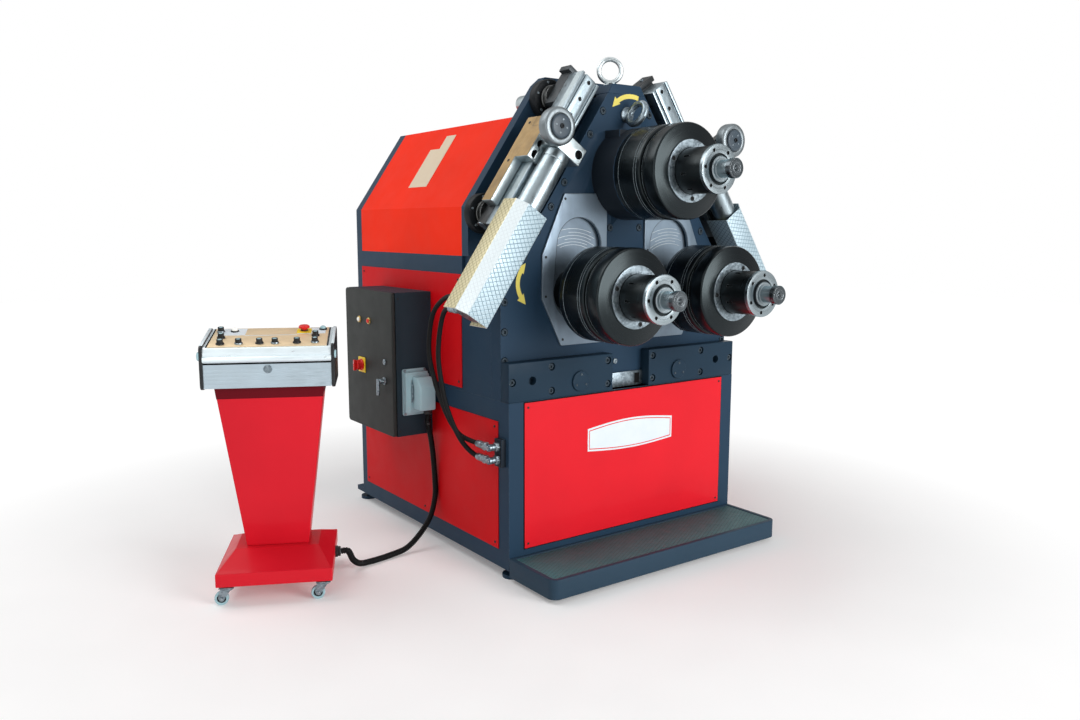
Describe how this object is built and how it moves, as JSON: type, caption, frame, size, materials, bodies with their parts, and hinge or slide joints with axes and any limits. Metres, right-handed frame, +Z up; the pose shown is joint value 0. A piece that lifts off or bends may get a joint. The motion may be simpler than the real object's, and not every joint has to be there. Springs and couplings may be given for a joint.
{
  "type": "ring roller",
  "caption": "Floor-standing hydraulic ring roller: driven rolls on overhung shafts in a gabled head, lifting carriages, slanted side guides and a wheeled control console.",
  "frame": {"origin": "on the floor, under the centre of the bounding box of the machine and its console", "axes": "+X along the machine's width and the row of machine and console, +Y from the rolls to the back, +Z up"},
  "size_m": [2.4188, 1.894, 2.0153],
  "materials": {
    "frame_paint": "dark grey structured paint",
    "face_paint": "blue grey satin paint",
    "step_paint": "dark paint, top with a fine raised tread",
    "red_paint": "gloss red paint",
    "cover_steel": "ground steel plate",
    "roll_steel": "blackened turned steel",
    "bright_steel": "turned and ground steel",
    "tread_plate": "raised tread pattern",
    "desk_aluminium": "brushed sheet",
    "black_plastic": "fine grain",
    "grey_plastic": "smooth",
    "red_plastic": "smooth",
    "black_rubber": "matt"
  },
  "bodies": {
    "machine": {"base_frame": "frame_paint", "front_panel": "red_paint", "left_base_panel": "red_paint", "right_base_panel": "red_paint", "step_platform": "step_paint", "lower_beam": "face_paint", "body_frame": "frame_paint", "left_body_panel": "red_paint", "right_body_panel": "red_paint", "rear_panel": "red_paint", "hood": "red_paint", "rear_head_plate": "face_paint", "front_head_plate": "face_paint", "head_cap": "face_paint", "left_slot_cover": "cover_steel", "right_slot_cover": "cover_steel", "power_unit": "frame_paint", "left_guide_rail": "bright_steel", "left_guide_cover": "tread_plate", "right_guide_rail": "bright_steel", "right_guide_cover": "tread_plate", "cabinet_box": "frame_paint", "control_plug": "grey_plastic", "console_base": "red_paint", "console_column": "red_paint", "console_box": "desk_aluminium", "control_conduit": "black_rubber", "upper_hose": "black_rubber", "lower_hose": "black_rubber"},
    "upper_spindle": {"upper_shaft": "bright_steel", "upper_roll": "roll_steel"},
    "left_lift": {"left_carriage": "cover_steel"},
    "left_spindle": {"left_lower_shaft": "bright_steel", "left_lower_roll": "roll_steel"},
    "right_lift": {"right_carriage": "cover_steel"},
    "right_spindle": {"right_lower_shaft": "bright_steel", "right_lower_roll": "roll_steel"},
    "left_guide": {"left_guide_slide": "bright_steel"},
    "left_guide_wheel": {"left_guide_roller": "bright_steel"},
    "right_guide": {"right_guide_slide": "bright_steel"},
    "right_guide_wheel": {"right_guide_roller": "bright_steel"},
    "door": {"cabinet_door": "frame_paint"},
    "switch": {"main_switch": "red_plastic"},
    "handle": {"door_handle": "bright_steel"},
    "stop_button": {"emergency_stop": "red_plastic"},
    "button_1": {"push_button_1": "black_plastic"},
    "button_2": {"push_button_2": "black_plastic"},
    "button_3": {"push_button_3": "black_plastic"},
    "button_4": {"push_button_4": "black_plastic"},
    "button_5": {"push_button_5": "black_plastic"},
    "button_6": {"push_button_6": "black_plastic"},
    "button_7": {"push_button_7": "black_plastic"},
    "button_8": {"push_button_8": "black_plastic"},
    "button_9": {"push_button_9": "black_plastic"},
    "front_left_swivel": {"front_left_caster_fork": "bright_steel"},
    "front_left_wheel": {"front_left_caster_wheel": "grey_plastic"},
    "rear_left_wheel": {"rear_left_caster_wheel": "grey_plastic"},
    "front_right_swivel": {"front_right_caster_fork": "bright_steel"},
    "front_right_wheel": {"front_right_caster_wheel": "grey_plastic"},
    "rear_right_wheel": {"rear_right_caster_wheel": "grey_plastic"}
  },
  "joints": [
    {"name": "upper_roll_spin", "type": "hinge", "parent": "machine", "child": "upper_spindle", "pos_m": [0.36928, -0.6105, 1.5444], "axis": [0, 1, 0], "continuous": true},
    {"name": "left_lift_slide", "type": "slide", "parent": "machine", "child": "left_lift", "axis": [0.0941, 0, 0.9956], "range_m": [0, 0.15]},
    {"name": "left_roll_spin", "type": "hinge", "parent": "left_lift", "child": "left_spindle", "pos_m": [0.11368, -0.6105, 1.0908], "axis": [0, 1, 0], "continuous": true},
    {"name": "right_lift_slide", "type": "slide", "parent": "machine", "child": "right_lift", "axis": [-0.0941, 0, 0.9956], "range_m": [0, 0.15]},
    {"name": "right_roll_spin", "type": "hinge", "parent": "right_lift", "child": "right_spindle", "pos_m": [0.62488, -0.6105, 1.0908], "axis": [0, 1, 0], "continuous": true},
    {"name": "left_guide_slide_joint", "type": "slide", "parent": "machine", "child": "left_guide", "axis": [0.5621, 0, 0.8271], "range_m": [0, 0.15]},
    {"name": "left_guide_roller_spin", "type": "hinge", "parent": "left_guide", "child": "left_guide_wheel", "pos_m": [-0.0783, -0.4895, 1.69363], "axis": [0, 1, 0], "continuous": true},
    {"name": "right_guide_slide_joint", "type": "slide", "parent": "machine", "child": "right_guide", "axis": [-0.5621, 0, 0.8271], "range_m": [0, 0.15]},
    {"name": "right_guide_roller_spin", "type": "hinge", "parent": "right_guide", "child": "right_guide_wheel", "pos_m": [0.81686, -0.4895, 1.69363], "axis": [0, 1, 0], "continuous": true},
    {"name": "cabinet_door_hinge", "type": "hinge", "parent": "machine", "child": "door", "pos_m": [-0.40642, 0.606, 0.7765], "axis": [0, 0, -1], "range_deg": [0, 110]},
    {"name": "main_switch_turn", "type": "hinge", "parent": "door", "child": "switch", "pos_m": [-0.43, 0.448, 0.749], "axis": [1, 0, 0], "range_deg": [0, 90]},
    {"name": "door_handle_turn", "type": "hinge", "parent": "door", "child": "handle", "pos_m": [-0.43, 0.233, 0.706], "axis": [1, 0, 0], "range_deg": [0, 90]},
    {"name": "emergency_stop_press", "type": "slide", "parent": "machine", "child": "stop_button", "axis": [0.0778, 0.1611, -0.9839], "range_m": [0, 0.006], "stiffness_N_per_m": 1000, "springref_m": -0.002},
    {"name": "button_1_press", "type": "slide", "parent": "machine", "child": "button_1", "axis": [0.0778, 0.1611, -0.9839], "range_m": [0, 0.004], "stiffness_N_per_m": 600, "springref_m": -0.002},
    {"name": "button_2_press", "type": "slide", "parent": "machine", "child": "button_2", "axis": [0.0778, 0.1611, -0.9839], "range_m": [0, 0.004], "stiffness_N_per_m": 600, "springref_m": -0.002},
    {"name": "button_3_press", "type": "slide", "parent": "machine", "child": "button_3", "axis": [0.0778, 0.1611, -0.9839], "range_m": [0, 0.004], "stiffness_N_per_m": 600, "springref_m": -0.002},
    {"name": "button_4_press", "type": "slide", "parent": "machine", "child": "button_4", "axis": [0.0778, 0.1611, -0.9839], "range_m": [0, 0.004], "stiffness_N_per_m": 600, "springref_m": -0.002},
    {"name": "button_5_press", "type": "slide", "parent": "machine", "child": "button_5", "axis": [0.0778, 0.1611, -0.9839], "range_m": [0, 0.004], "stiffness_N_per_m": 600, "springref_m": -0.002},
    {"name": "button_6_press", "type": "slide", "parent": "machine", "child": "button_6", "axis": [0.0778, 0.1611, -0.9839], "range_m": [0, 0.004], "stiffness_N_per_m": 600, "springref_m": -0.002},
    {"name": "button_7_press", "type": "slide", "parent": "machine", "child": "button_7", "axis": [0.0778, 0.1611, -0.9839], "range_m": [0, 0.004], "stiffness_N_per_m": 600, "springref_m": -0.002},
    {"name": "button_8_press", "type": "slide", "parent": "machine", "child": "button_8", "axis": [0.0778, 0.1611, -0.9839], "range_m": [0, 0.004], "stiffness_N_per_m": 600, "springref_m": -0.002},
    {"name": "button_9_press", "type": "slide", "parent": "machine", "child": "button_9", "axis": [0.0778, 0.1611, -0.9839], "range_m": [0, 0.004], "stiffness_N_per_m": 600, "springref_m": -0.002},
    {"name": "front_left_caster_swivel", "type": "hinge", "parent": "machine", "child": "front_left_swivel", "pos_m": [-1.16313, 0.00529, 0.05], "axis": [0, 0, 1], "continuous": true},
    {"name": "front_left_caster_spin", "type": "hinge", "parent": "front_left_swivel", "child": "front_left_wheel", "pos_m": [-1.18114, 0.01399, 0.025], "axis": [0.435, 0.9004, 0], "continuous": true},
    {"name": "rear_left_caster_spin", "type": "hinge", "parent": "machine", "child": "rear_left_wheel", "pos_m": [-1.02412, 0.33905, 0.025], "axis": [0.435, 0.9004, 0], "continuous": true},
    {"name": "front_right_caster_swivel", "type": "hinge", "parent": "machine", "child": "front_right_swivel", "pos_m": [-0.86058, -0.14086, 0.05], "axis": [0, 0, 1], "continuous": true},
    {"name": "front_right_caster_spin", "type": "hinge", "parent": "front_right_swivel", "child": "front_right_wheel", "pos_m": [-0.87859, -0.13216, 0.025], "axis": [0.435, 0.9004, 0], "continuous": true},
    {"name": "rear_right_caster_spin", "type": "hinge", "parent": "machine", "child": "rear_right_wheel", "pos_m": [-0.72157, 0.1929, 0.025], "axis": [0.435, 0.9004, 0], "continuous": true}
  ],
  "couplings": [
    {"joint": "left_roll_spin", "follows": "upper_roll_spin", "ratio": -1},
    {"joint": "right_roll_spin", "follows": "upper_roll_spin", "ratio": -1}
  ]
}
